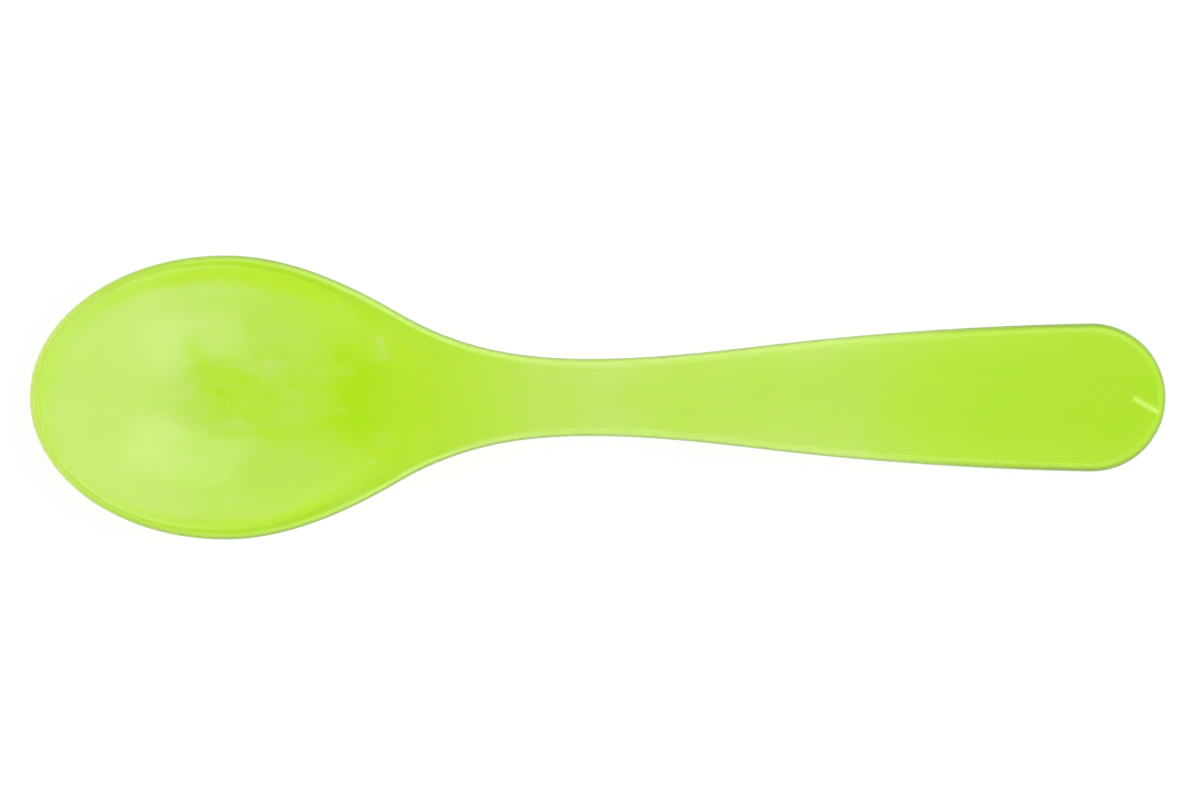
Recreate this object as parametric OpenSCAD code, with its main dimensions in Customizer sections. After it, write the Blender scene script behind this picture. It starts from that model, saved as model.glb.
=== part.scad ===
// A baby spoon: one translucent plastic moulding, given as its bowl, neck and handle.
// X runs along the spoon with the bowl at -X and the handle at +X, Y across it, Z up.
// The spoon lies at rest: the origin is on the table, under the middle of its length.

/* [Overall] */
// Length from the tip of the bowl to the end of the handle
overall_length = 140; // [126:1:160]

/* [Bowl] */
// Width of the bowl at its widest place
bowl_width = 35; // [31:0.5:39]
// Distance from the tip to the widest place
bowl_widest = 24; // [22:0.5:26]
// Depth of the hollow below the rim
hollow_depth = 7.2; // [5.5:0.1:8.5]
// Distance from the tip to the back of the hollow
hollow_back = 45; // [42:0.5:47]
// Flat rim between the hollow and the tip
rim_front = 1.2; // [1:0.1:2]
// Flat rim between the hollow and the side at the widest place
rim_side = 1.5; // [1.2:0.1:2.5]
// Thickness of the rim at its edge
rim_thickness = 1.7; // [1.5:0.1:2.2]
// Thickness of the floor under the hollow
floor_wall = 1.6; // [1.2:0.1:2.2]
// How much higher the rim lies at the tip than at the widest place
tip_lift = 0.3; // [0:0.1:1.5]

/* [Neck] */
// Distance from the tip to the middle of the shoulder curve
shoulder_at = 45.6; // [44:0.2:48]
// Width at the middle of the shoulder curve
shoulder_width = 20.6; // [18:0.2:23]
// Distance from the tip to the narrowest place
waist_at = 69; // [65:0.5:74]
// Width at the narrowest place
waist_width = 9.5; // [8:0.1:12]
// Distance from the tip to the highest place
crest_at = 61; // [56:0.5:68]
// Height of the highest place above the rim of the bowl
neck_rise = 3; // [0:0.1:6]
// Thickness along the middle of the neck
neck_thickness = 3.6; // [3:0.1:4.5]

/* [Handle] */
// Distance from the tip to the middle of the flare
flare_at = 90; // [86:0.5:95]
// Width at the middle of the flare
flare_width = 12.7; // [11:0.1:14.5]
// Width of the handle at its round end
handle_width = 18.3; // [16:0.1:20]
// Thickness along the middle of the handle's end
handle_thickness = 2.8; // [2.4:0.1:3.4]

/* [Edges] */
// Radius of the rounded edges
edge_radius = 0.7; // [0.4:0.05:0.7]
// Edge thickness of the neck and of the handle
edge_thickness = 2.2; // [2:0.1:2.4]
// How much higher the top of the neck and handle lies in the middle than at the edges
top_crown = 0.3; // [0.1:0.05:0.5]
// How much the two resting places are flattened
foot_flat = 0.15; // [0.05:0.05:0.25]

/* [Hidden] */

lime = [0.72, 0.90, 0.28];

// Slopes of the plan and of the side view, as rise over run
shoulder_slope_share = -0.59;
flare_slope_share = 0.12;
grip_slope_share = 0.02;
rim_slope_share = 0.03;
end_slope_share = -0.03;

// Powers of the curves: across the underside, and of the hollow towards tip and neck
keel_power_share = 2.2;
hollow_power_share = 2.7;
hollow_skew_share = 0.3;

// Place where the bowl's underside has run into the neck's, between hollow and narrowest place
keel_end_share = 0.67;

// How much the facets of the hollow crowd towards its edge
crowd_power_share = 1.5;

// Counts of the facets
side_count = 14;
tip_count = 36;
across_count = 20;
hollow_count = 10;
rim_count = 2;
round_count = 4;
under_count = 10;
neck_count = 16;
grip_count = 20;
end_count = 10;

// Places along the spoon, from the tip
neck_start = hollow_back + rim_side * 3;
neck_end = waist_at + waist_width;
end_centre = overall_length - handle_width / 2;
hollow_centre = (rim_front + hollow_back) / 2;

// Half sizes of the hollow's oval
hollow_half_length = (hollow_back - rim_front) / 2;
hollow_half_width = bowl_width / 2 - rim_side;

// Heights of the upper edge
rim_height = hollow_depth + floor_wall;
crest_height = rim_height + neck_rise;
end_height = edge_thickness - foot_flat;

// Drop of the underside from its edge to its middle
bowl_keel = rim_height - rim_thickness + foot_flat;
neck_keel = neck_thickness - edge_thickness - top_crown;
handle_keel = handle_thickness - edge_thickness - top_crown;

// Rows of place, value and slope
half_width_rows = [
    [bowl_widest, bowl_width / 2, 0],
    [shoulder_at, shoulder_width / 2, shoulder_slope_share],
    [waist_at, waist_width / 2, 0],
    [flare_at, flare_width / 2, flare_slope_share],
    [end_centre, handle_width / 2, grip_slope_share]
];
height_rows = [
    [0, rim_height + tip_lift, -rim_slope_share],
    [bowl_widest, rim_height, rim_slope_share],
    [crest_at, crest_height, 0],
    [overall_length, end_height, end_slope_share]
];
thickness_rows = [
    [bowl_widest, rim_thickness, 0],
    [waist_at, edge_thickness, 0]
];
keel_rows = [
    [bowl_widest, bowl_keel, 0],
    [hollow_back + (waist_at - hollow_back) * keel_end_share, neck_keel, 0],
    [waist_at, neck_keel, 0],
    [overall_length, handle_keel, 0]
];
crown_rows = [
    [hollow_back, 0, 0],
    [waist_at, top_crown, 0]
];

// A smooth curve through two rows
function curve(s, a, b) =
    let (run = b[0] - a[0], t = (s - a[0]) / run, u = 1 - t)
    u * u * ((1 + 2 * t) * a[1] + t * run * a[2])
    + t * t * ((1 + 2 * u) * b[1] - u * run * b[2]);

// The value of a set of rows at place s, level before the first row and after the last
function along(rows, s, k = 0) =
    s <= rows[0][0] ? rows[0][1]
    : k + 1 == len(rows) ? rows[k][1]
    : s <= rows[k + 1][0] ? curve(s, rows[k], rows[k + 1])
    : along(rows, s, k + 1);

// How far place s lies into the round tip or the round end, from 0 to 1
function end_share(s) =
    s < bowl_widest ? (bowl_widest - s) / bowl_widest
    : s > end_centre ? (s - end_centre) / (overall_length - end_centre)
    : 0;

// Half of the plan width at place s
function half_width(s) = along(half_width_rows, s) * sqrt(max(0, 1 - end_share(s) ^ 2));

// Half of the slope of the squared half width, which stays finite at both ends
function width_slope(s) =
    s < bowl_widest ? (bowl_width / 2) ^ 2 * (bowl_widest - s) / bowl_widest ^ 2
    : s > end_centre ? end_centre - s
    : (half_width(s + edge_radius) ^ 2 - half_width(s - edge_radius) ^ 2) / edge_radius / 4;

// Distance of a plan point from the outline, true near the outline
function edge_distance(s, y) =
    (half_width(s) ^ 2 - y * y) / norm([width_slope(s), y]) / 2;

// How far a face falls away towards the rounded edge
function edge_fall(s, y) =
    let (in = max(0, edge_radius - edge_distance(s, y)))
    edge_radius - sqrt(max(0, edge_radius ^ 2 - in ^ 2));

// A pillow over the plan: 1 along the middle, 0 on the outline
function pillow(s, y, power) =
    let (h = half_width(s), across = h > 0 ? min(1, abs(y) / h) : 0)
    (1 - end_share(s) ^ power) * (1 - across ^ power);

// A plan point measured in the hollow's oval: 0 at its centre, 1 on its edge
function oval_share(s, y) = norm([(s - hollow_centre) / hollow_half_length, y / hollow_half_width]);

// Depth of the hollow at a plan point, gentle towards the tip and steep towards the neck
function hollow(s, y) =
    let (oval = oval_share(s, y), lean = oval > 0 ? (s - hollow_centre) / hollow_half_length / oval : 0)
    oval < 1 ? hollow_depth * (1 - oval ^ (hollow_power_share + hollow_skew_share * lean)) : 0;

function top_at(s, y) =
    along(height_rows, s) + along(crown_rows, s) * pillow(s, y, 2) - hollow(s, y) - edge_fall(s, y);

function bottom_at(s, y) =
    along(height_rows, s) - along(thickness_rows, s)
    - along(keel_rows, s) * pillow(s, y, keel_power_share) + edge_fall(s, y);

function top_point(s, y) = [s - overall_length / 2, y, top_at(s, y)];
function bottom_point(s, y) = [s - overall_length / 2, y, bottom_at(s, y)];

// Places across a section from one edge to the other, close together at the edges
across_shares = [for (j = [0:across_count]) -cos(180 * j / across_count)];

// A closed section: along the top from edge to edge, and back along the underside
function section(s) =
    let (h = half_width(s))
    concat(
        [for (c = across_shares) top_point(s, h * c)],
        [for (j = [across_count:-1:0]) bottom_point(s, h * across_shares[j])]
    );

// The bowl's outline seen from above, with the straight cut at the neck
function bowl_outline() =
    concat(
        [for (i = [0:side_count - 1])
            let (s = neck_start + (bowl_widest - neck_start) * i / side_count)
            [s, half_width(s)]],
        [for (i = [0:tip_count])
            let (s = bowl_widest * (1 - sin(180 * i / tip_count)))
            [s, i * 2 < tip_count ? half_width(s) : -half_width(s)]],
        [for (i = [1:side_count])
            let (s = bowl_widest + (neck_start - bowl_widest) * i / side_count)
            [s, -half_width(s)]],
        [for (j = [1:across_count - 1]) [neck_start, half_width(neck_start) * across_shares[j]]]
    );

// Places along a ray from the hollow's centre to an outline point, as shares of the ray
function ray_shares(q) =
    let (
        reach = norm(q - [hollow_centre, 0]),
        rim = 1 / oval_share(q[0], q[1]),
        bend = 1 - edge_radius / reach
    )
    concat(
        [for (i = [0:hollow_count]) rim * (1 - (1 - i / hollow_count) ^ crowd_power_share)],
        [for (i = [1:rim_count]) rim + (bend - rim) * i / rim_count],
        [for (i = [1:round_count]) 1 - edge_radius / reach * (1 - sin(90 * i / round_count))]
    );

// The same ray on the underside, from the outline point back to the centre
function under_shares(q) =
    let (reach = norm(q - [hollow_centre, 0]), bend = 1 - edge_radius / reach)
    concat(
        [for (i = [round_count:-1:1]) 1 - edge_radius / reach * (1 - sin(90 * i / round_count))],
        [for (i = [under_count:-1:0]) bend * i / under_count]
    );

function ray_place(q, t) = [hollow_centre + (q[0] - hollow_centre) * t, q[1] * t];

function top_ray(q) =
    [for (t = ray_shares(q)) let (p = ray_place(q, t)) top_point(p[0], p[1])];

function under_ray(q) =
    [for (t = under_shares(q)) let (p = ray_place(q, t)) bottom_point(p[0], p[1])];

// Triangles between loop k and the next, each of m points, without those of no area
function band(points, k, m) =
    [for (j = [0:m - 1])
        let (a = k * m + j, b = k * m + (j + 1) % m)
        for (face = [[a, b, b + m], [a, b + m, a + m]])
        let (p = points[face[0]], q = points[face[1]], r = points[face[2]])
        if (p != q && q != r && r != p) face];

// A flat cap on a section, laid in strips between its top and its underside
function cap(first, flip) =
    let (m = 2 * across_count + 2)
    [for (j = [0:across_count - 1])
        let (a = first + j, b = first + j + 1, c = first + m - 2 - j, d = first + m - 1 - j)
        for (face = [[a, b, c], [a, c, d]])
        flip ? [face[2], face[1], face[0]] : face];

// A solid with its surface stretched over loops of points
module skin(loops, caps) {
    points = [for (loop = loops) each loop];
    bands = [for (k = [0:len(loops) - 2]) each band(points, k, len(loops[0]))];
    polyhedron(points = points, faces = concat(bands, caps));
}

// Cuts off what would reach below the table, which leaves a flat resting place
module resting() {
    difference() {
        children();
        translate([-overall_length, -bowl_width, -rim_height])
            cube([overall_length * 2, bowl_width * 2, rim_height]);
    }
}

module bowl() {
    rays = [for (q = bowl_outline()) concat(top_ray(q), under_ray(q))];
    loops = [for (i = [0:len(rays[0]) - 1]) [for (ray = rays) ray[i]]];
    color(lime) resting() skin(loops, []);
}

module neck() {
    places = [for (i = [0:neck_count]) neck_start + (neck_end - neck_start) * i / neck_count];
    loops = [for (s = places) section(s)];
    last = neck_count * len(loops[0]);
    color(lime) skin(loops, concat(cap(0, true), cap(last, false)));
}

module handle() {
    places = concat(
        [for (i = [0:grip_count - 1]) neck_end + (end_centre - neck_end) * i / grip_count],
        [for (i = [0:end_count]) end_centre + (overall_length - end_centre) * sin(90 * i / end_count)]
    );
    loops = [for (s = places) section(s)];
    color(lime) resting() skin(loops, cap(0, true));
}

bowl();
neck();
handle();
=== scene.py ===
from math import cos, hypot, pi, radians, sin, sqrt

import bmesh
import bpy
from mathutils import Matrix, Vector


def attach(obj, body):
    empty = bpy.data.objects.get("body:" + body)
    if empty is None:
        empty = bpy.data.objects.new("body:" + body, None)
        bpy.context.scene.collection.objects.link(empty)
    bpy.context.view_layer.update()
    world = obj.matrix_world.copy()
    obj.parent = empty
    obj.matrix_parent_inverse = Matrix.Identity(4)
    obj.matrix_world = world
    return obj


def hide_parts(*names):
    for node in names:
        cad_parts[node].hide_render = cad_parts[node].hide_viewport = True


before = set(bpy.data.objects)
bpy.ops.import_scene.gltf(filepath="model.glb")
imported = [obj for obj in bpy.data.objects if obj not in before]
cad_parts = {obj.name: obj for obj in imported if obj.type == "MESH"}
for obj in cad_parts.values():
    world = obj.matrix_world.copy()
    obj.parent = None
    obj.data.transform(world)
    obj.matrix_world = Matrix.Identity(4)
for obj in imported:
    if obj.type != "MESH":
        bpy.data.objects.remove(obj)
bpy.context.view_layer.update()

mm = 0.001
tiny = 1e-9
print("frame loaded:", sorted(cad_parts))


# one socket of a node tree, with its sums written as Python
class Wire:
    def __init__(self, tree, socket=None):
        self.tree = tree
        self.socket = socket

    def node(self, kind, settings=None, sockets=None, out=0):
        made = self.tree.nodes.new(kind)
        for name, value in (settings or {}).items():
            if name == "stops":
                ramp = made.color_ramp.elements
                while len(ramp) < len(value):
                    ramp.new(0.5)
                for stop, (where, colour) in zip(ramp, value):
                    stop.position = where
                    stop.color = colour
            else:
                setattr(made, name, value)
        for name, value in (sockets or {}).items():
            if isinstance(value, Wire):
                self.tree.links.new(value.socket, made.inputs[name])
            else:
                made.inputs[name].default_value = value
        return Wire(self.tree, made.outputs[out]) if made.outputs else made

    def part(self, name):
        return Wire(self.tree, self.socket.node.outputs[name])

    def sum(self, operation, one, two=0.0):
        return self.node("ShaderNodeMath", {"operation": operation}, {0: one, 1: two})

    def __add__(self, other):
        return self.sum("ADD", self, other)

    def __radd__(self, other):
        return self.sum("ADD", other, self)

    def __sub__(self, other):
        return self.sum("SUBTRACT", self, other)

    def __rsub__(self, other):
        return self.sum("SUBTRACT", other, self)

    def __mul__(self, other):
        return self.sum("MULTIPLY", self, other)

    def __rmul__(self, other):
        return self.sum("MULTIPLY", other, self)

    def __truediv__(self, other):
        return self.sum("DIVIDE", self, other)

    def __rtruediv__(self, other):
        return self.sum("DIVIDE", other, self)

    def __pow__(self, other):
        return self.sum("POWER", self, other)

    def __rpow__(self, other):
        return self.sum("POWER", other, self)


def newMaterial(name):
    material = bpy.data.materials.new(name)
    material.use_nodes = True
    material.node_tree.nodes.clear()
    return material, Wire(material.node_tree)


# the spoon in mm, measured from the tip; rows give place, value and slope
spoon = {
    "length": 140,
    "wideAt": 24,            # widest place of the bowl
    "neckAt": 49.5,          # where the rings of the bowl hand over to rows
    "endAt": 130.85,         # centre of the round end
    "halfWidths": [(24, 17.5, 0), (45.6, 10.3, -0.59), (69, 4.75, 0), (90, 6.35, 0.12),
                   (130.85, 9.15, 0.02)],
    "slopeReach": 0.7,       # step that the outline's slope is read over
    "edgeHeights": [(0, 9.1, -0.03), (24, 8.8, 0.03), (61, 11.8, 0), (140, 2.05, -0.03)],
    "edgeThicknesses": [(24, 1.7, 0), (69, 2.2, 0)],
    "edgeRounds": [(24, 0.78, 0), (69, 1.02, 0)],
    "keels": [(24, 7.25, 0), (61.08, 1.1, 0), (69, 1.1, 0), (140, 0.3, 0)],
    "keelPower": 2.2,
    "footSoft": 0.06,        # easing where the underside meets the table
    "crowns": [(45, 0, 0), (69, 0.3, 0)],
    "crownPower": 2,
    "hollowAt": 23.1,
    "hollowHalf": (21.9, 16),
    "hollowDepth": 7.2,
    "hollowPower": 2.7,
    "hollowSkew": 0.3,       # steeper towards the neck than towards the tip
    "rimSoft": (0.5, 1.6),   # how far the rim's inner corner is eased, at the sides and at the back
    "rimSoftPower": 4,
}
bowlHalf = spoon["halfWidths"][0][1]
halfLength = spoon["length"] / 2      # the frame's origin is half way along

# how the mesh is divided
division = {
    "side": 20,
    "tip": 40,
    "across": 16,
    "gridOffset": 4,
    "gripRows": 48,
    "endRows": 8,
    "ringShares": [0.34, 0.45, 0.56, 0.66, 0.75, 0.83, 0.9, 0.95],   # rings of the hollow
    "rimRings": (-0.42, -0.18, 0),       # rings before and on the rim's corner, in mm
    "rimEase": (0.25, 0.4),              # first ring past it: most mm, and most share of the band
    "bandShares": (0.35, 0.7),           # rings on the flat band outside it
    "edgeInner": 1.1,                    # inner line of the edge, in edge radii
    "edgeTurns": (90, 67.5, 45, 22.5, 0),
    "startRadius": 5 * mm,
    "startThickness": 2 * mm,
}


def along(rows, s):
    if s <= rows[0][0]:
        return rows[0][1]
    for (s0, v0, g0), (s1, v1, g1) in zip(rows, rows[1:]):
        if s <= s1:
            run = s1 - s0
            t = (s - s0) / run
            u = 1 - t
            return u * u * ((1 + 2 * t) * v0 + t * run * g0) + t * t * ((1 + 2 * u) * v1 - u * run * g1)
    return rows[-1][1]


def endShare(s):
    if s < spoon["wideAt"]:
        return min(1, (spoon["wideAt"] - s) / spoon["wideAt"])
    return min(1, max(0, s - spoon["endAt"]) / (spoon["length"] - spoon["endAt"]))


def halfWidth(s):
    return along(spoon["halfWidths"], s) * sqrt(1 - endShare(s) ** 2)


# half the slope of the squared half width
def widthSlope(s):
    if s < spoon["wideAt"]:
        return bowlHalf ** 2 * (spoon["wideAt"] - s) / spoon["wideAt"] ** 2
    if s > spoon["endAt"]:
        return spoon["endAt"] - s
    reach = spoon["slopeReach"]
    return (halfWidth(s + reach) ** 2 - halfWidth(s - reach) ** 2) / (4 * reach)


# distance inwards from the outline
def edgeRun(s, y):
    return max(0, halfWidth(s) ** 2 - y * y) / (2 * hypot(widthSlope(s), y) + tiny)


def edgeFall(s, y):
    r = along(spoon["edgeRounds"], s)
    near = max(0, r - edgeRun(s, y))
    return r - sqrt(r * r - near * near)


def pillow(s, y, power):
    half = halfWidth(s)
    side = min(1, abs(y) / half) if half > 0 else 0
    return (1 - endShare(s) ** power) * (1 - side ** power)


def softMax(a, b, ease):
    lap = max(0, ease - abs(a - b))
    return max(a, b) + lap * lap / (4 * ease)


def ovalShare(s, y):
    return hypot((s - spoon["hollowAt"]) / spoon["hollowHalf"][0], y / spoon["hollowHalf"][1])


def hollow(s, y):
    oval = ovalShare(s, y)
    lean = (s - spoon["hollowAt"]) / spoon["hollowHalf"][0] / max(oval, tiny)
    depth = spoon["hollowDepth"] * (1 - oval ** (spoon["hollowPower"] + spoon["hollowSkew"] * lean))
    sideSoft, backSoft = spoon["rimSoft"]
    ease = sideSoft + (backSoft - sideSoft) * max(0, lean) ** spoon["rimSoftPower"]
    return softMax(depth, 0, ease)


def topHeight(s, y):
    crown = along(spoon["crowns"], s) * pillow(s, y, spoon["crownPower"])
    return along(spoon["edgeHeights"], s) + crown - hollow(s, y) - edgeFall(s, y)


def underHeight(s, y):
    keel = along(spoon["keels"], s) * pillow(s, y, spoon["keelPower"])
    edge = along(spoon["edgeHeights"], s) - along(spoon["edgeThicknesses"], s)
    return softMax(edge - keel + edgeFall(s, y), 0, spoon["footSoft"])


# the brink is the plan outline: each place on it has the way outwards, longer where it is crossed aslant;
# steps inwards from it are shares of the edge's radius
roundSteps = [division["edgeInner"]] + [1 - cos(radians(turn)) for turn in division["edgeTurns"]]
middle = Vector((spoon["hollowAt"], 0))
brink = []


def addBrink(spot, way, square):
    brink.append((Vector(spot), way / way.dot(square) * along(spoon["edgeRounds"], spot[0])))
    return len(brink)


def insetSpot(index, step):
    spot, way = brink[index - 1]
    return spot - way * step


def outlineSquare(s, y):
    return Vector((-widthSlope(s), y)).normalized()


# rays of the bowl, from the lower shoulder round the tip to the upper shoulder, then back across the neck
rays = []
sideParts = division["side"]
tipParts = division["tip"]
across = division["across"]
sideRun = spoon["neckAt"] - spoon["wideAt"]
for i in range(2 * sideParts + tipParts + 1):
    turn = radians(180 * (i - sideParts) / tipParts - 90)
    if abs(turn) <= pi / 2 + tiny:
        s = spoon["wideAt"] * (1 - cos(turn))
        y = bowlHalf * sin(turn)
    else:
        beyond = max(sideParts - i, i - sideParts - tipParts)
        s = spoon["wideAt"] + sideRun * beyond / sideParts
        y = halfWidth(s) * (1 if turn > 0 else -1)
    spot = Vector((s, y))
    index = addBrink(spot, (spot - middle).normalized(), outlineSquare(s, y))
    rays.append(insetSpot(index, roundSteps[0]))
lastRay = len(rays) - 1
upperCorner = rays[lastRay]
lowerCorner = rays[0]
for j in range(1, across):
    rays.append(upperCorner.lerp(lowerCorner, j / across))


# where the bowl's rings cross a ray, from the floor of the hollow to the inner line of the edge
def ringSpots(far):
    rim = middle + (far - middle) / ovalShare(far.x, far.y)
    way = (rim - middle).normalized()
    band = (far - rim).length
    ease = min(division["rimEase"][0], division["rimEase"][1] * band)
    steps = [*division["rimRings"], ease]
    steps += [ease + share * (band - ease) for share in division["bandShares"]]
    steps.append(band)
    inner = [middle.lerp(rim, share) for share in division["ringShares"]]
    return inner + [rim + way * step for step in steps]


rings = [ringSpots(far) for far in rays]


def placeVert(vert, spot):
    vert.co = ((spot.x - halfLength) * mm, spot.y * mm, vert.co.z)


def fromTip(x):
    return x / mm + halfLength


def pushOut(piece, spotOf):
    bpy.ops.mesh.extrude_region_move()
    mesh = bmesh.from_edit_mesh(piece.data)
    ray = mesh.verts.layers.int["ray"]
    edge = mesh.verts.layers.int["brink"]
    for vert in mesh.verts:
        if vert.select:
            placeVert(vert, spotOf(vert, ray, edge))
    bmesh.update_edit_mesh(piece.data)


def selectBorder():
    bpy.ops.mesh.select_all(action="DESELECT")
    bpy.ops.mesh.select_non_manifold(extend=False, use_wire=False, use_multi_face=False,
                                     use_non_contiguous=False, use_verts=False)


bpy.ops.object.select_all(action="DESELECT")
bpy.ops.mesh.primitive_circle_add(vertices=len(rays), radius=division["startRadius"], location=(0, 0, 0))
piece = bpy.context.object
piece.name = "spoon"
piece.data.name = "spoon"
bpy.ops.object.mode_set(mode="EDIT")
mesh = bmesh.from_edit_mesh(piece.data)
for name in ("ray", "brink"):
    mesh.verts.layers.int.new(name)
rayLayer = mesh.verts.layers.int["ray"]
mesh.verts.ensure_lookup_table()
for i, vert in enumerate(mesh.verts):
    vert[rayLayer] = i
    placeVert(vert, rings[i][0])
bmesh.update_edit_mesh(piece.data)

# the floor of the hollow is a grid, and rings go out from it to the inner line of the edge
bpy.ops.mesh.select_mode(type="EDGE")
bpy.ops.mesh.select_all(action="SELECT")
bpy.ops.mesh.fill_grid(span=len(rays) // 4, offset=division["gridOffset"])
for step in range(1, len(rings[0])):
    selectBorder()
    pushOut(piece, lambda vert, ray, edge: rings[vert[ray]][step])

mesh = bmesh.from_edit_mesh(piece.data)
rayLayer = mesh.verts.layers.int["ray"]
brinkLayer = mesh.verts.layers.int["brink"]
for vert in mesh.verts:
    if vert.is_boundary and vert[rayLayer] <= lastRay:
        vert[brinkLayer] = vert[rayLayer] + 1
for link in mesh.edges:
    ends = [vert[rayLayer] or len(rays) for vert in link.verts]
    link.select_set(link.is_boundary and min(ends) >= lastRay)
bmesh.update_edit_mesh(piece.data)
print("bowl rings:", len(mesh.faces), "faces")

# rows of the neck and handle go on from the back of the bowl
rows = []
for row in range(1, division["gripRows"] + 1):
    s = spoon["neckAt"] + (spoon["endAt"] - spoon["neckAt"]) * row / division["gripRows"]
    y = halfWidth(s)
    upper = addBrink((s, y), Vector((0, 1)), outlineSquare(s, y))
    lower = addBrink((s, -y), Vector((0, -1)), outlineSquare(s, -y))
    top = insetSpot(upper, roundSteps[0])
    low = insetSpot(lower, roundSteps[0])
    rows.append([(top.lerp(low, j / across), 0) for j in range(across + 1)])
    rows[-1][0] = (top, upper)
    rows[-1][across] = (low, lower)

# the last rows swing round into the end's half circle
endRadius = spoon["length"] - spoon["endAt"]
endInner = endRadius - roundSteps[0] * along(spoon["edgeRounds"], spoon["endAt"])
endCentre = Vector((spoon["endAt"], 0))
diagonal = sqrt(0.5)
for row in range(1, division["endRows"] + 1):
    u = row / division["endRows"]
    turn = radians(90 - 45 * u)
    spots = []
    for j in range(across + 1):
        v = 1 - 2 * j / across
        swing = radians(45 * v)
        bow = (cos(swing) - diagonal) / (1 - diagonal)
        x = cos(turn) + (u - cos(turn)) * bow
        y = sin(turn) * ((1 - u) * v + u * sin(swing) / diagonal)
        spot = Vector((spoon["endAt"] + x * endInner, y * endInner))
        index = 0
        if j in (0, across) or row == division["endRows"]:
            way = (spot - endCentre).normalized()
            index = addBrink(endCentre + way * endRadius, way, way)
        spots.append((spot, index))
    rows.append(spots)

for spots in rows:
    def rowSpot(vert, ray, edge):
        spot, vert[edge] = spots[(vert[ray] or len(rays)) - lastRay]
        return spot
    pushOut(piece, rowSpot)

# the rounded edge runs once round the whole outline
for step in roundSteps[1:]:
    selectBorder()
    pushOut(piece, lambda vert, ray, edge: insetSpot(vert[edge], step))
print("plan sheet:", len(bmesh.from_edit_mesh(piece.data).faces), "faces")

# the sheet gets its thickness, then both faces take their heights
bpy.ops.mesh.select_all(action="SELECT")
bpy.ops.mesh.extrude_region_move(TRANSFORM_OT_translate={"value": (0, 0, division["startThickness"])})
mesh = bmesh.from_edit_mesh(piece.data)
for vert in mesh.verts:
    s = fromTip(vert.co.x)
    y = vert.co.y / mm
    vert.co.z = (topHeight(s, y) if vert.select else underHeight(s, y)) * mm
bmesh.update_edit_mesh(piece.data)
bpy.ops.mesh.select_all(action="SELECT")
bpy.ops.mesh.normals_make_consistent(inside=False)
bpy.ops.object.mode_set(mode="OBJECT")

smooth = piece.modifiers.new("smooth", "SUBSURF")
smooth.levels = 1
smooth.render_levels = 1
bpy.ops.object.modifier_apply(modifier=smooth.name)
bpy.ops.object.shade_smooth()

# marks on the upper face: the scar of the runner at the handle's end, and two nicks behind the hollow,
# whose whitening is a painted glint
marks = [
    {"ends": ((136.2, -0.15), (138.9, -1.75)), "half": 0.27, "deep": 0.14, "white": 0.9},
    {"ends": ((42.95, 7.15), (43.5, 6.4)), "half": 0.34, "deep": 0.13, "white": 1.0},
    {"ends": ((42.1, -8.0), (42.4, -7.7)), "half": 0.3, "deep": 0.12, "white": 0.5},
]
markLook = {
    "flank": 1.4,            # outer end of a mark's flank, in half widths
    "reach": 2.4,            # faces within this are cut finer, in half widths
    "cuts": 3,
    "upward": 0.1,           # least upward lean of a face that takes a mark
}


def markRun(mark, s, y):
    start, end = (Vector(spot) for spot in mark["ends"])
    line = end - start
    spot = Vector((s, y))
    t = min(1, max(0, (spot - start).dot(line) / line.length_squared))
    return (spot - start - line * t).length


def markShare(mark, s, y):
    t = min(1, max(0, markLook["flank"] - markRun(mark, s, y) / mark["half"]))
    return t * t * (3 - 2 * t)


bpy.ops.object.mode_set(mode="EDIT")
bpy.ops.mesh.select_mode(type="FACE")
for mark in marks:
    bpy.ops.mesh.select_all(action="DESELECT")
    mesh = bmesh.from_edit_mesh(piece.data)
    for face in mesh.faces:
        centre = face.calc_center_median()
        near = markRun(mark, fromTip(centre.x), centre.y / mm) < markLook["reach"] * mark["half"]
        face.select_set(face.normal.z > markLook["upward"] and near)
    bmesh.update_edit_mesh(piece.data)
    bpy.ops.mesh.subdivide(number_cuts=markLook["cuts"])
    mesh = bmesh.from_edit_mesh(piece.data)
    for vert in mesh.verts:
        if vert.normal.z > markLook["upward"]:
            vert.co.z -= mark["deep"] * mm * markShare(mark, fromTip(vert.co.x), vert.co.y / mm)
    bmesh.update_edit_mesh(piece.data)

# the faces round the marks have extra corners now, so each becomes a fan
bpy.ops.mesh.select_face_by_sides(number=4, type="GREATER", extend=False)
bpy.ops.mesh.poke()
bpy.ops.object.mode_set(mode="OBJECT")
bpy.ops.object.shade_smooth()

# each point keeps its distance from the outline and its share in a mark's whitening, a painted glint on the
# two nicks, for the finish
for name in ("inward", "marked"):
    piece.data.attributes.new(name, "FLOAT", "POINT")
inward = piece.data.attributes["inward"]
marked = piece.data.attributes["marked"]
endGap = 0.01
for vert in piece.data.vertices:
    s = min(spoon["length"] - endGap, max(endGap, fromTip(vert.co.x)))
    y = vert.co.y / mm
    inward.data[vert.index].value = edgeRun(s, y)
    if vert.normal.z > 0:
        marked.data[vert.index].value = max(mark["white"] * markShare(mark, s, y) for mark in marks)
print("spoon:", len(piece.data.polygons), "faces")
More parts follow.
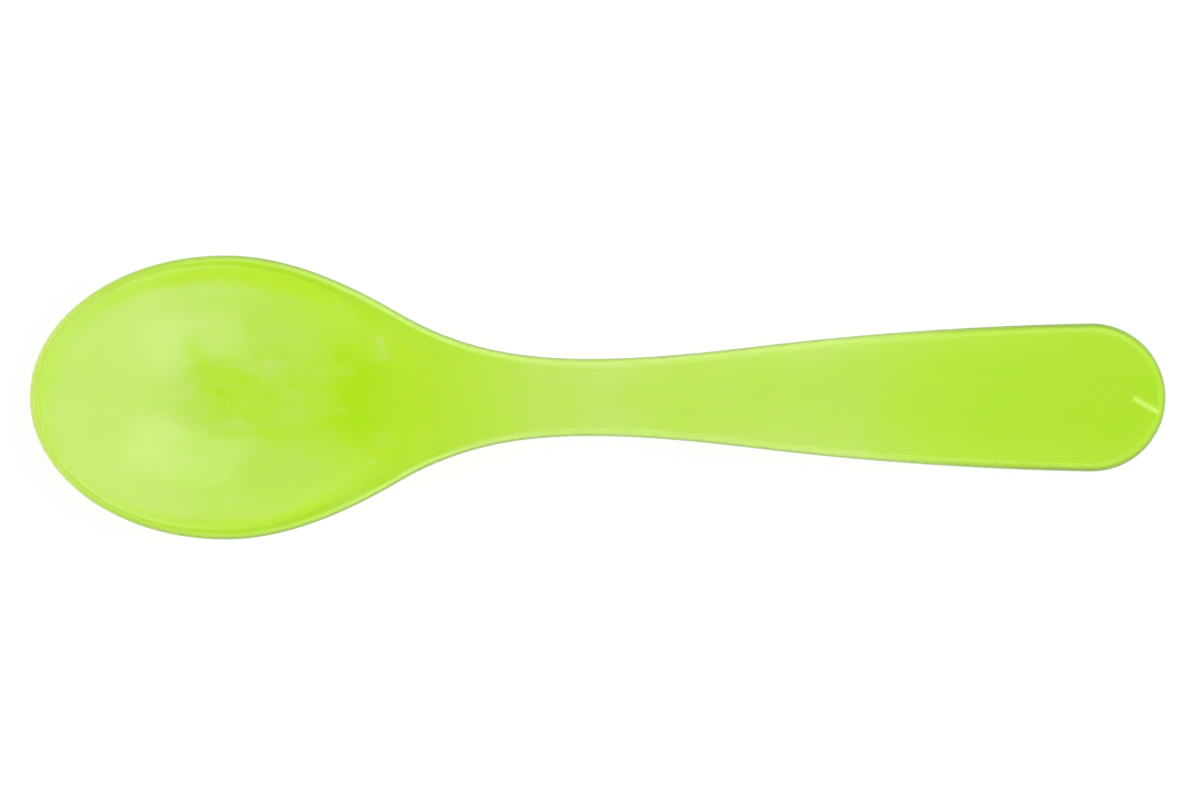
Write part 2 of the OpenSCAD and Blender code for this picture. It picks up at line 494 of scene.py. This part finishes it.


# lime plastic, paler where the wall is thin and deeper where it gathers, with painted light in the tones
# too:
# the pale tip half of the hollow is a painted reflection, and the deeper tongue behind it and the deeper
# end of the handle are painted shade; places are mm from the tip, and tones run from 0, pale, to 1, deep
limeLook = {
    "shades": [(0.0, (0.565, 0.8, 0.155, 1)), (0.35, (0.52, 0.795, 0.067, 1)),
               (0.7, (0.497, 0.795, 0.02, 1)), (1.0, (0.455, 0.79, 0.002, 1))],
    "middle": [(0, 0.15), (5, 0), (18.1, 0), (21, 0.44), (22, 0.46), (33, 0.42), (36.5, 0.55),
               (40, 0.98), (42.5, 0.92), (44, 0.8), (51, 0.6), (63, 0.18), (72, 0.12), (78, 0.32),
               (98, 0.28), (116, 0.84)],
    "flank": [(0, 0.15), (5, 0), (13, 0.02), (18, 0.08), (24, 0.22), (33, 0.29), (38, 0.5),
              (46, 0.66), (52, 0.54), (63, 0.13), (98, 0.15), (116, 0.7)],
    "flankReach": (3.0, 7.5),
    "lift": [(13, 1.09), (19, 1.07), (27, 1.08), (40, 1.09), (50, 1.04)],
    "liftTop": 2.0,          # lift at the full white of its ramp
    "white": (0.72, 1.0, 0.2, 1),
    "milk": 0.15,
    "milkyEdge": (0.5, 1.3),              # mm inwards from the outline
    "scatter": (1.0, 1.3, 0.4),
    "scatterReach": 2 * mm,
    "ior": 1.49,
}
lime, wire = newMaterial("limePlastic")
spot = wire.node("ShaderNodeTexCoord", out="Object")
split = wire.node("ShaderNodeSeparateXYZ", {}, {0: spot})
place = split.part("X") * (1 / mm) + halfLength
aside = split.part("Y") * (1 / mm)
side = wire.sum("ABSOLUTE", aside)
inside = wire.node("ShaderNodeAttribute", {"attribute_name": "inward"}, out="Fac")
scarAndGlint = wire.node("ShaderNodeAttribute", {"attribute_name": "marked"}, out="Fac")


def eased(value, ends):
    return wire.node("ShaderNodeMapRange", {"interpolation_type": "SMOOTHSTEP"},
                     {"Value": value, "From Min": ends[0], "From Max": ends[1]})


def noise(scale, turn=0, detail=2.0):
    turned = wire.node("ShaderNodeMapping", {}, {
        "Vector": spot,
        "Rotation": (0, 0, radians(turn)),
        "Scale": scale,
    })
    return wire.node("ShaderNodeTexNoise", {}, {"Vector": turned, "Scale": 1.0, "Detail": detail}) - 0.5


def mixed(share, one, two):
    return wire.node("ShaderNodeMix", {"data_type": "RGBA"}, {0: share, 6: one, 7: two}, out=2)


# grain of the melt: noise scales, and how far each moves the tone, all over and more on the hollow's floor;
# also dabs of tone, the paler of them painted reflections
grainLook = {
    "streaks": (90, 1000, 300),
    "streakTone": (0.35, 0.75),
    "clouds": (170, 170, 170),
    "cloudTone": 0.4,
    "patches": (330, 520, 330),
    "patchTone": (0.15, 0.75),
    "wander": (5, 2),                     # how far clouds and streaks shift the tones along, in mm
    "floorStarts": (19, 23),
    "floorFades": (31, 37),
    "floorAside": (3.5, 6.5),
    "ripple": 800.0,
    "rippleReach": (0.004, 0.002, 0),
    "dabEase": (0.4, 1.4),
    # dabs of tone: place, side, half length, half width, turn and tone; the paler dabs, with a negative
    # tone, are painted reflections
    "toneDabsAndReflections": [
        (20.3, 5.5, 2.3, 0.9, -58, 0.42),
        (28.2, 3.9, 5.2, 0.95, 0, -0.28),
        (23.7, 0.0, 1.4, 1.1, 0, 0.25),
        (38.8, 5.7, 1.7, 1.2, 0, 0.27),
        (39.5, 3.4, 1.5, 0.65, 8, -0.3),
        (40.6, 0.8, 1.5, 1.8, 0, 0.25),
        (38.9, -1.8, 1.0, 0.6, -10, -0.3),
        (43.8, -5.2, 1.5, 1.2, 0, -0.17),
        (43.2, 5.5, 0.9, 1.3, 15, -0.45),
        (41.2, 10.5, 2.2, 0.8, -30, 0.18),
        (38.9, 10.6, 2.0, 0.45, -33, -0.2),
    ],
}
streaks = noise(grainLook["streaks"], detail=3.0)
clouds = noise(grainLook["clouds"])
patches = noise(grainLook["patches"])
wavy = place + clouds * grainLook["wander"][0] + streaks * grainLook["wander"][1]


def alongTone(stops, top=1.0):
    grey = [(where / spoon["length"], (tone / top,) * 3 + (1,)) for where, tone in stops]
    return wire.node("ShaderNodeValToRGB", {"stops": grey}, {0: wavy / spoon["length"]}) * top


middleTone = alongTone(limeLook["middle"])
flankTone = alongTone(limeLook["flank"])
tone = middleTone + (flankTone - middleTone) * eased(side, limeLook["flankReach"])

# the rim round the hollow is a little deeper than the hollow itself; upper, lower and corner are
# shares of the hollow's oval
rimLook = {
    "tones": (0.28, 0.68),                # at the tip and along the sides
    "deepens": (5, 24),
    "upper": (0.88, 0.96),
    "lower": (0.965, 1.01),
    "halves": (-3, 3),                    # where the upper half turns into the lower one
    "fades": (35, 43),
    "paleTone": 0.12,                     # a paler place inside its lower side
    "paleAside": (5, 9),
    "paleStarts": (28, 34),
    "paleFades": (39, 44),
    "cornerTone": 0.22,                   # its inner corner catches a line of light
    "corner": (0.935, 0.957, 0.985),
    "cornerStarts": (20, 27),
    "cornerFades": (38, 43),
}
lengthways = (place - spoon["hollowAt"]) / spoon["hollowHalf"][0]
sideways = aside / spoon["hollowHalf"][1]
oval = (lengthways * lengthways + sideways * sideways) ** 0.5
tipTone, sideTone = rimLook["tones"]
rimTone = tipTone + (sideTone - tipTone) * eased(place, rimLook["deepens"])
lowerHalf = 1 - eased(aside, rimLook["halves"])
rimEnds = [high + (low - high) * lowerHalf for high, low in zip(rimLook["upper"], rimLook["lower"])]
rim = eased(oval, rimEnds) * (1 - eased(place, rimLook["fades"]))
paler = eased(0 - aside, rimLook["paleAside"]) * eased(place, rimLook["paleStarts"])
tone = tone - paler * (1 - eased(place, rimLook["paleFades"])) * rimLook["paleTone"]
tone = tone + (rimTone - tone) * rim

# its inner corner catches a line of light at the sides
corner = eased(oval, rimLook["corner"][:2]) * (1 - eased(oval, rimLook["corner"][1:]))
corner = corner * eased(place, rimLook["cornerStarts"]) * (1 - eased(place, rimLook["cornerFades"]))
tone = tone - corner * rimLook["cornerTone"]

# flow streaks along the length, strongest on the floor of the hollow, and soft clouding
flow = eased(place, grainLook["floorStarts"]) * (1 - eased(place, grainLook["floorFades"]))
flow = flow * (1 - eased(side, grainLook["floorAside"]))
tone = tone + streaks * (grainLook["streakTone"][0] + grainLook["streakTone"][1] * flow)
tone = tone + clouds * grainLook["cloudTone"]
tone = tone + patches * (grainLook["patchTone"][0] + grainLook["patchTone"][1] * flow)

# soft dabs of deeper and paler tone, with uneven outlines; the paler ones are painted reflections on the
# back of the hollow
ripple = wire.node("ShaderNodeTexNoise", {}, {"Vector": spot, "Scale": grainLook["ripple"], "Detail": 2.0},
                   out="Color")
centred = wire.node("ShaderNodeVectorMath", {"operation": "SUBTRACT"}, {0: ripple, 1: (0.5, 0.5, 0.5)})
drift = wire.node("ShaderNodeVectorMath", {"operation": "MULTIPLY_ADD"},
                  {0: centred, 1: grainLook["rippleReach"], 2: spot})
for s, y, halfLong, halfWide, turn, amount in grainLook["toneDabsAndReflections"]:
    local = wire.node("ShaderNodeMapping", {"vector_type": "TEXTURE"}, {
        "Vector": drift,
        "Location": ((s - halfLength) * mm, y * mm, 0),
        "Rotation": (0, 0, radians(turn)),
        "Scale": (halfLong * mm, halfWide * mm, 1),
    })
    away = wire.node("ShaderNodeVectorMath", {"operation": "LENGTH"}, {0: local}, out="Value")
    tone = tone + (1 - eased(away, grainLook["dabEase"])) * amount
body = wire.node("ShaderNodeValToRGB", {"stops": limeLook["shades"]}, {0: tone})
# the colour is scaled brighter, most along the bowl: painted light that makes up for the shade in the
# hollow
lift = alongTone(limeLook["lift"], limeLook["liftTop"])
lifted = wire.node("ShaderNodeVectorMath", {"operation": "SCALE"}, {0: body, "Scale": lift})

# painted light along the edges: a bright line stands in for the highlight on the rounded edge, and the
# brim outside it is a painted dark outline where the edge is shaded, lightened towards the tip; each runs
# between a deep and a bright colour along the spoon; runs are mm inwards from the outline
edgeLook = {
    "edges": ((0.44, 0.69, 0.03, 1), (0.68, 0.93, 0.24, 1)),
    "edgeHighlightShare": [(0, 1), (5, 0.8), (12, 0.28), (30, 0.28), (42, 0.7), (60, 0.95), (100, 1), (116, 0.05)],
    "edgeRun": (0.3, 0.95),
    "brims": ((0.29, 0.45, 0.045, 1), (0.72, 0.95, 0.28, 1)),
    "brimLightShare": [(0, 1), (5, 0.85), (12, 0.5), (18, 0.4), (30, 0.15), (50, 0.1), (62, 0.3), (110, 0.3),
                 (125, 0.03)],
    "brimRun": (0.05, 0.42),
    "brimWidens": (118, 130),
    "brimWider": 0.5,
}
# painted highlight along the edges, then the painted dark outline of the brim
glow = mixed(alongTone(edgeLook["edgeHighlightShare"]), *edgeLook["edges"])
colour = mixed(1 - eased(inside, edgeLook["edgeRun"]), lifted, glow)
brim = mixed(alongTone(edgeLook["brimLightShare"]), *edgeLook["brims"])
brimWidth = 1 + edgeLook["brimWider"] * eased(place, edgeLook["brimWidens"])
colour = mixed(1 - eased(inside / brimWidth, edgeLook["brimRun"]), colour, brim)
colour = mixed(scarAndGlint, colour, limeLook["white"])      # whitened runner scar, and painted glints on the two nicks

# a moulded skin: slow waves, faint flow lines, fine hairlines from use; heights in mm
skinLook = {
    "waves": (190, 230, 230),
    "waveHeight": 0.035,
    "streakHeight": 0.008,
    "hairs": ((12, (40, 2600, 40)), (-31, (55, 3100, 55)), (74, (60, 2900, 60))),
    "hairWidth": 0.035,
    "hairDepth": 0.0001,
    "wornRun": (0.1, 0.9),
    "wornLeast": 0.5,
    "rough": {"base": 0.21, "clouds": 0.1, "patches": 0.03, "hairs": 0.012, "worn": 0.12, "marks": 0.1},
}
hairs = 0
for turn, scale in skinLook["hairs"]:
    hairs = hairs + (1 - eased(wire.sum("ABSOLUTE", noise(scale, turn)), (0.0, skinLook["hairWidth"])))
waves = noise(skinLook["waves"], detail=1.0)
height = waves * skinLook["waveHeight"] + streaks * skinLook["streakHeight"] - hairs * skinLook["hairDepth"]
skin = wire.node("ShaderNodeBump", {}, {"Strength": 1.0, "Distance": mm, "Height": height})
worn = (1 - eased(inside, skinLook["wornRun"])) * (skinLook["wornLeast"] + clouds + streaks)
rough = skinLook["rough"]
matt = rough["base"] + clouds * rough["clouds"] + patches * rough["patches"]
matt = matt + hairs * rough["hairs"] + worn * rough["worn"] + scarAndGlint * rough["marks"]
finish = {"Base Color": colour, "Roughness": matt, "IOR": limeLook["ior"], "Normal": skin}
clearPart = wire.node("ShaderNodeBsdfPrincipled", {}, {**finish, "Transmission Weight": 1.0})
milkyPart = wire.node("ShaderNodeBsdfPrincipled", {}, {
    **finish,
    "Subsurface Weight": 1.0,
    "Subsurface Radius": limeLook["scatter"],
    "Subsurface Scale": limeLook["scatterReach"],
})

# the wall is a little milky, its edges wholly so, and light that is inside it gets out again
milkyEdge = wire.sum("MAXIMUM", 1 - eased(inside, limeLook["milkyEdge"]), scarAndGlint)
milky = limeLook["milk"] + (1 - limeLook["milk"]) * milkyEdge
within = wire.node("ShaderNodeNewGeometry", out="Backfacing")
plastic = wire.node("ShaderNodeMixShader", {}, {0: milky * (1 - within), 1: clearPart, 2: milkyPart})
wire.node("ShaderNodeOutputMaterial", {}, {"Surface": plastic})
piece.data.materials.clear()
piece.data.materials.append(lime)
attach(piece, "root")
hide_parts("bowl", "neck", "handle")
print("spoon dressed")


# plain white floor: where it is seen, part of its white is its own, so the shadow stays faint
floorLook = {"size": 3.0, "drop": 0.0001, "white": 0.86, "shaded": 0.2, "own": 0.86}
bpy.ops.object.select_all(action="DESELECT")
bpy.ops.mesh.primitive_plane_add(size=floorLook["size"], location=(0, 0, -floorLook["drop"]))
floor = bpy.context.object
floor.name = "floor"
paper, wire = newMaterial("whitePaper")


def seenShare(wire):
    path = wire.node("ShaderNodeLightPath")
    looks = path.part("Is Camera Ray") + path.part("Is Glossy Ray") + path.part("Is Transmission Ray")
    return wire.sum("MINIMUM", looks, 1.0)


lit = wire.node("ShaderNodeBsdfDiffuse", {}, {"Color": (floorLook["white"],) * 3 + (1,)})
faint = wire.node("ShaderNodeBsdfDiffuse", {}, {"Color": (floorLook["shaded"],) * 3 + (1,)})
own = wire.node("ShaderNodeEmission", {}, {"Strength": floorLook["own"]})
shown = wire.node("ShaderNodeAddShader", {}, {0: faint, 1: own})
either = wire.node("ShaderNodeMixShader", {}, {0: seenShare(wire), 1: lit, 2: shown})
# from below, the camera looks through the floor
below = wire.node("ShaderNodeNewGeometry", out="Backfacing")
below = below * wire.node("ShaderNodeLightPath", out="Is Camera Ray")
clear = wire.node("ShaderNodeBsdfTransparent")
sheet = wire.node("ShaderNodeMixShader", {}, {0: below, 1: either, 2: clear})
wire.node("ShaderNodeOutputMaterial", {}, {"Surface": sheet})
floor.data.materials.append(paper)


# light: a white room, mirrored dimmer from overhead and from the tip's side, and four softboxes
roomLook = {"fill": 0.45, "dim": 0.3, "towards": (0.8, 0.0, -0.5), "from": -0.5, "to": -0.1}
world = bpy.data.worlds.new("whiteRoom")
bpy.context.scene.world = world
world.use_nodes = True
world.node_tree.nodes.clear()
wire = Wire(world.node_tree)
facing = wire.node("ShaderNodeVectorMath", {"operation": "DOT_PRODUCT"}, {
    0: wire.node("ShaderNodeTexCoord", out="Generated"),
    1: roomLook["towards"],
}, out="Value")
dim = wire.node("ShaderNodeMapRange", {"interpolation_type": "SMOOTHSTEP"}, {
    "Value": facing,
    "From Min": roomLook["from"],
    "From Max": roomLook["to"],
    "To Min": roomLook["dim"],
})
mirrored = wire.node("ShaderNodeLightPath", out="Is Reflection Ray")
shine = 1 + (dim - 1) * mirrored
room = wire.node("ShaderNodeBackground", {}, {
    "Color": (1, 1, 1, 1),
    "Strength": (seenShare(wire) * (1 - roomLook["fill"]) + roomLook["fill"]) * shine,
})
wire.node("ShaderNodeOutputWorld", {}, {"Surface": room})

softboxes = [
    {"name": "handleBox", "at": (0.88, 0.0, 0.82), "size": (1.0, 1.02), "glow": 1.8, "shine": False},
    {"name": "upperBox", "at": (0.2, 0.73, 0.95), "size": (1.0, 1.0), "glow": 1.5, "shine": True},
    {"name": "lowerBox", "at": (0.1, -0.73, 0.95), "size": (0.9, 1.0), "glow": 1.2, "shine": True},
    {"name": "tipBox", "at": (-1.0, 0.0, 0.4), "size": (0.8, 0.6), "glow": 2.4, "shine": False},
]
for box in softboxes:
    lamp = bpy.data.lights.new(box["name"], "AREA")
    lamp.shape = "RECTANGLE"
    lamp.size, lamp.size_y = box["size"]
    lamp.energy = box["glow"] * pi * lamp.size * lamp.size_y
    holder = bpy.data.objects.new(box["name"], lamp)
    bpy.context.scene.collection.objects.link(holder)
    holder.location = box["at"]
    holder.rotation_euler = (-Vector(box["at"])).to_track_quat("-Z", "Y").to_euler()
    holder.visible_glossy = box["shine"]
    holder.visible_transmission = False      # no lamp shows through the plastic
print("floor and light set")


# the photograph looks straight down
viewpoint = {"at": (0.00019, -0.00031), "height": 2.508, "width": 0.14765, "plane": 0.008,
             "sensor": 36, "clip": (0.01, 20)}
camera = bpy.data.cameras.new("overhead")
camera.sensor_width = viewpoint["sensor"]
camera.lens = viewpoint["sensor"] * (viewpoint["height"] - viewpoint["plane"]) / viewpoint["width"]
camera.clip_start, camera.clip_end = viewpoint["clip"]
stand = bpy.data.objects.new("overhead", camera)
bpy.context.scene.collection.objects.link(stand)
stand.location = (*viewpoint["at"], viewpoint["height"])
bpy.context.scene.camera = stand
bpy.context.scene.view_settings.view_transform = "Standard"

bpy.context.view_layer.update()
